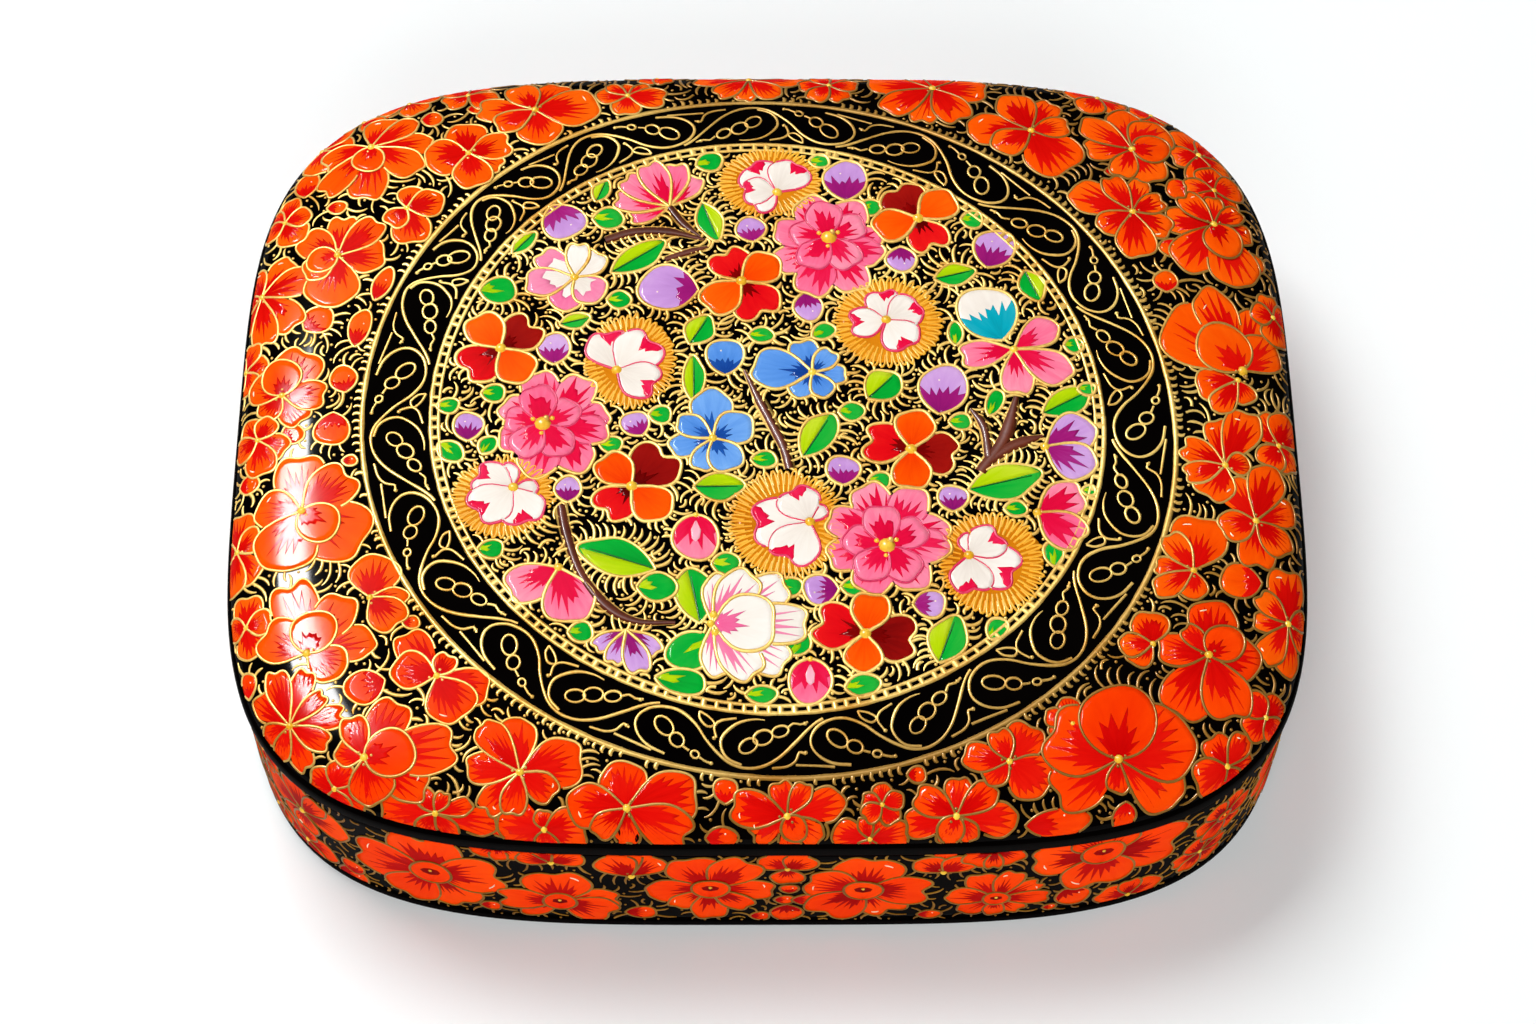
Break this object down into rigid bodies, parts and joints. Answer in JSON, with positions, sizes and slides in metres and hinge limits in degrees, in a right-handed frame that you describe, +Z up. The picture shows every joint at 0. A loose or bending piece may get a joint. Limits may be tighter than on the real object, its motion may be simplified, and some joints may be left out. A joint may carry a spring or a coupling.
{
  "type": "lidded box",
  "caption": "Shallow cushion-shaped keepsake box of lacquered paper pulp with a lift-off lid that drops over an inner collar.",
  "frame": {"origin": "centre of the box's footprint, on the surface that it stands on", "axes": "+X along the longer side, +Y towards the back, +Z up through the lid's crown"},
  "size_m": [0.15, 0.13, 0.032],
  "materials": {
    "painted_lid": "painted paper pulp under high-gloss varnish",
    "painted_wall": "painted paper pulp under high-gloss varnish",
    "black_edge": "black paint under high-gloss varnish",
    "black_inside": "black paint under thin satin varnish"
  },
  "bodies": {
    "tray": {"tray_wall_ring": "painted_wall", "tray_seat_strip": "black_edge", "locating_collar": "black_inside", "floor_board": "black_inside", "foot_band": "black_edge"},
    "lid": {"lid_shell": "painted_lid", "lid_rim_band": "black_edge"}
  },
  "joints": [
    {"name": "lid_lift", "type": "slide", "parent": "tray", "child": "lid", "axis": [0, 0, 1], "range_m": [0, 0.06]}
  ]
}
